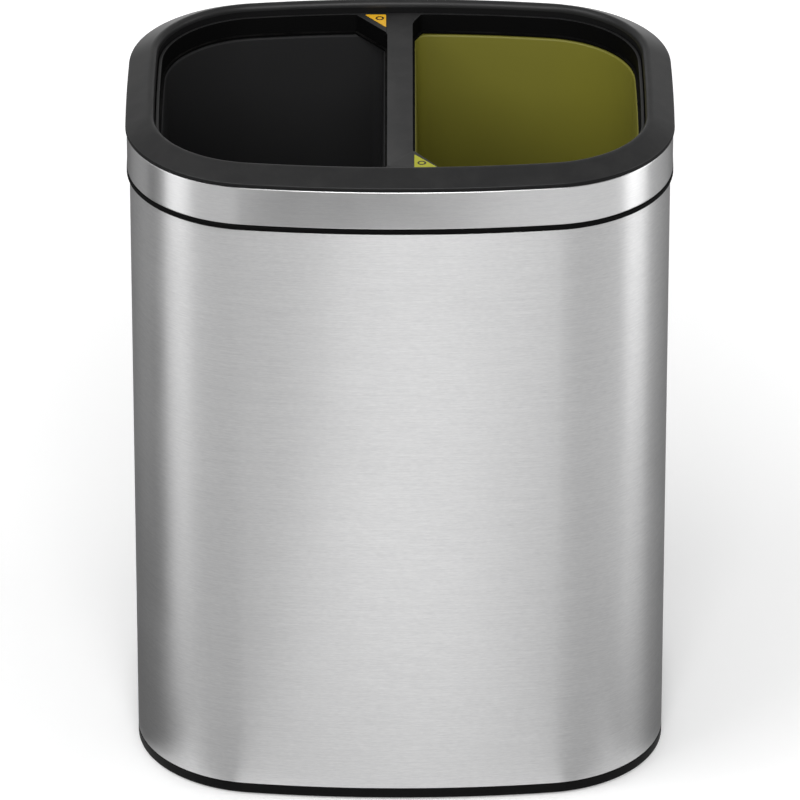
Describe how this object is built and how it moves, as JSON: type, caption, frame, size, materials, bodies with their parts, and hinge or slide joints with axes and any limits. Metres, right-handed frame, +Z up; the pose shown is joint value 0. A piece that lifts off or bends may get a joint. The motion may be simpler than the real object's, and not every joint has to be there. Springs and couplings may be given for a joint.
{
  "type": "double recycling bin",
  "caption": "Open-topped brushed steel recycling bin with two lift-out buckets under a lift-off ring with a divider and a soft black rim.",
  "frame": {"origin": "on the floor under the middle of the plan", "axes": "+Z up, +X to the right and +Y to the back seen from the front"},
  "size_m": [0.4098, 0.3208, 0.5311],
  "materials": {
    "brushed_steel": "brushed, horizontal grain",
    "black_plastic": "fine moulded texture",
    "rim_plastic": "satin soft-touch moulding",
    "foot_rubber": "matt",
    "zinc_screw": "zinc plated",
    "amber_label": "satin film",
    "lime_label": "satin film",
    "charcoal_plastic": "satin moulding",
    "olive_plastic": "satin moulding"
  },
  "bodies": {
    "bin_body": {"body_shell": "brushed_steel", "seam_strip": "brushed_steel", "base_pan": "black_plastic", "shell_collar": "black_plastic", "foot_front_left": "foot_rubber", "foot_front_right": "foot_rubber", "foot_back_right": "foot_rubber", "foot_back_left": "foot_rubber", "foot_screw_front_left": "zinc_screw", "foot_screw_front_right": "zinc_screw", "foot_screw_back_right": "zinc_screw", "foot_screw_back_left": "zinc_screw"},
    "top_ring": {"steel_band": "brushed_steel", "ring_carrier": "black_plastic", "rim_moulding": "rim_plastic", "divider_frame": "rim_plastic", "label_left": "amber_label", "label_right": "lime_label", "carrier_screw_1": "zinc_screw", "carrier_screw_2": "zinc_screw", "carrier_screw_3": "zinc_screw", "carrier_screw_4": "zinc_screw", "carrier_screw_5": "zinc_screw", "carrier_screw_6": "zinc_screw"},
    "left_bucket": {"bucket_left": "charcoal_plastic"},
    "right_bucket": {"bucket_right": "olive_plastic"},
    "left_handle": {"handle_left": "charcoal_plastic"},
    "right_handle": {"handle_right": "olive_plastic"}
  },
  "joints": [
    {"name": "ring_lift", "type": "slide", "parent": "bin_body", "child": "top_ring", "axis": [0, 0, 1], "range_m": [0, 1]},
    {"name": "left_bucket_lift", "type": "slide", "parent": "bin_body", "child": "left_bucket", "axis": [0, 0, 1], "range_m": [0, 0.5]},
    {"name": "right_bucket_lift", "type": "slide", "parent": "bin_body", "child": "right_bucket", "axis": [0, 0, 1], "range_m": [0, 0.5]},
    {"name": "left_handle_swing", "type": "hinge", "parent": "left_bucket", "child": "left_handle", "pos_m": [-0.095, 0, 0.5077], "axis": [0, 1, 0], "range_deg": [0, 90]},
    {"name": "right_handle_swing", "type": "hinge", "parent": "right_bucket", "child": "right_handle", "pos_m": [0.095, 0, 0.5077], "axis": [0, -1, 0], "range_deg": [0, 90]}
  ],
  "couplings": [
    {"joint": "left_bucket_lift", "follows": "ring_lift", "ratio": 0.5},
    {"joint": "right_bucket_lift", "follows": "ring_lift", "ratio": 0.5},
    {"joint": "left_handle_swing", "follows": "ring_lift", "rad_per_m": 1.57},
    {"joint": "right_handle_swing", "follows": "ring_lift", "rad_per_m": 1.57}
  ]
}
